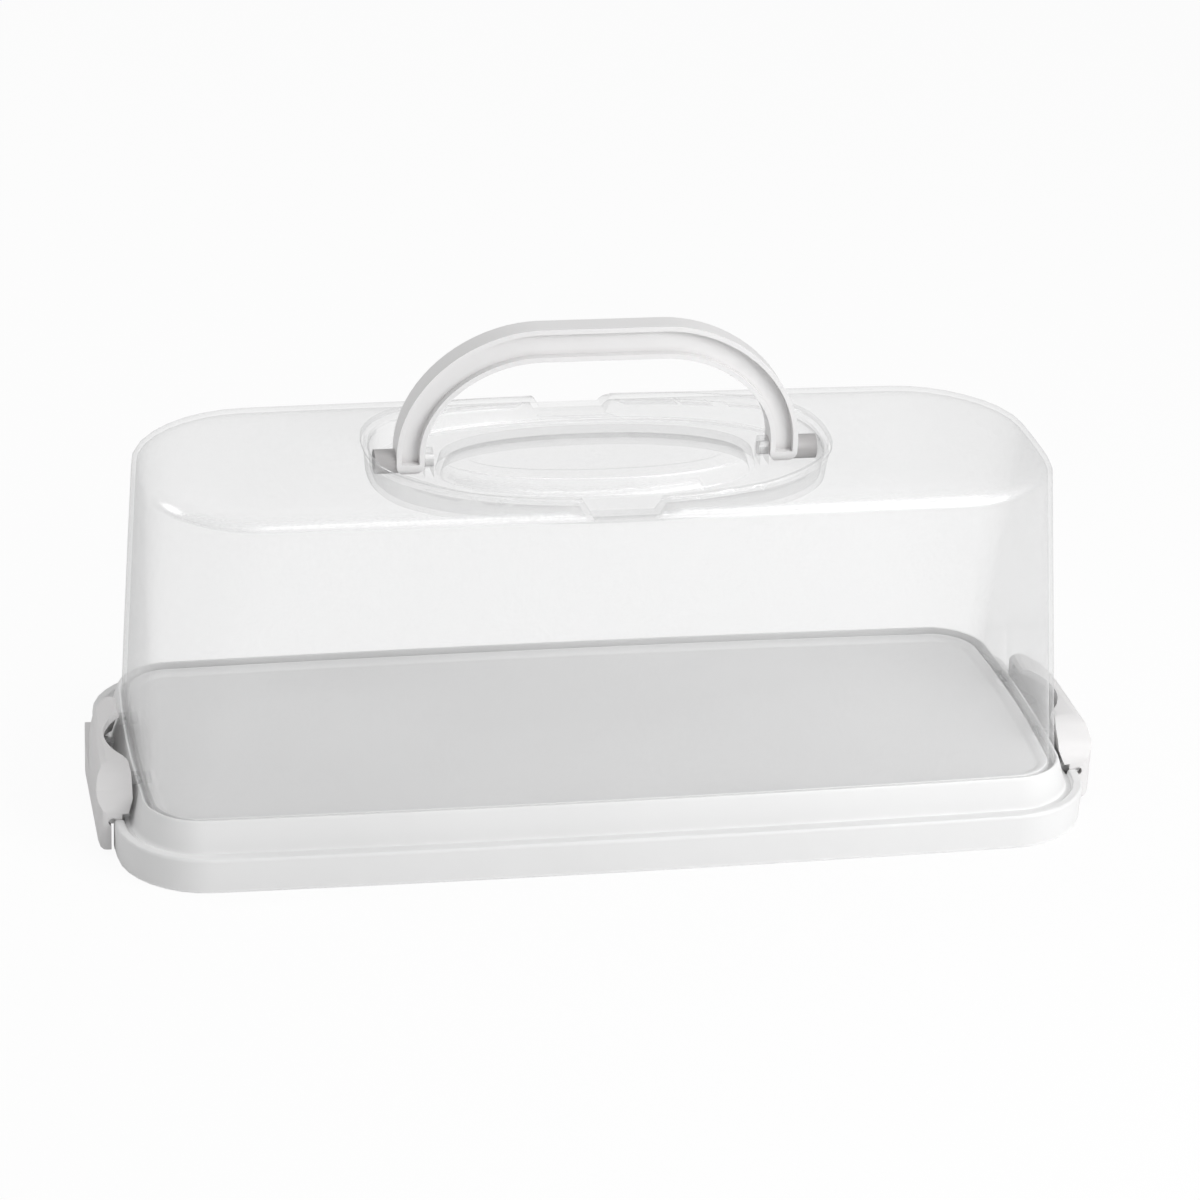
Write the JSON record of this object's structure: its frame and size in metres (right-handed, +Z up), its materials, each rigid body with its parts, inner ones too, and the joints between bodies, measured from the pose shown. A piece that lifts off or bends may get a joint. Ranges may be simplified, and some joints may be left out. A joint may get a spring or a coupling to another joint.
{
  "type": "loaf cake carrier",
  "caption": "Long cake carrier: stepped tray, frosted lift-off cover with a sunk oval collar, folding bail handle and a hinged latch at each end.",
  "frame": {"origin": "middle of the tray's underside, on the surface that it stands on", "axes": "+X along the carrier to its right, +Y from front to back, +Z up"},
  "size_m": [0.374, 0.162, 0.1822],
  "materials": {
    "tray": "satin white moulded plastic",
    "cover": "frosted translucent moulded plastic",
    "handle": "satin white moulded plastic",
    "latch_left": "satin white moulded plastic",
    "latch_right": "satin white moulded plastic"
  },
  "bodies": {
    "tray": {"tray": "tray"},
    "cover": {"cover": "cover"},
    "handle": {"handle": "handle"},
    "latch_left": {"latch_left": "latch_left"},
    "latch_right": {"latch_right": "latch_right"}
  },
  "joints": [
    {"name": "cover_lift", "type": "slide", "parent": "tray", "child": "cover", "axis": [0, 0, 1], "range_m": [0, 0.15]},
    {"name": "handle_fold", "type": "hinge", "parent": "cover", "child": "handle", "pos_m": [0, 0, 0.1315], "axis": [1, 0, 0], "range_deg": [-74, 74]},
    {"name": "latch_left_swing", "type": "hinge", "parent": "tray", "child": "latch_left", "pos_m": [-0.1814, -0.008, 0.013], "axis": [0, -1, 0], "range_deg": [0, 32]},
    {"name": "latch_right_swing", "type": "hinge", "parent": "tray", "child": "latch_right", "pos_m": [0.1814, -0.008, 0.013], "axis": [0, 1, 0], "range_deg": [0, 32]}
  ]
}
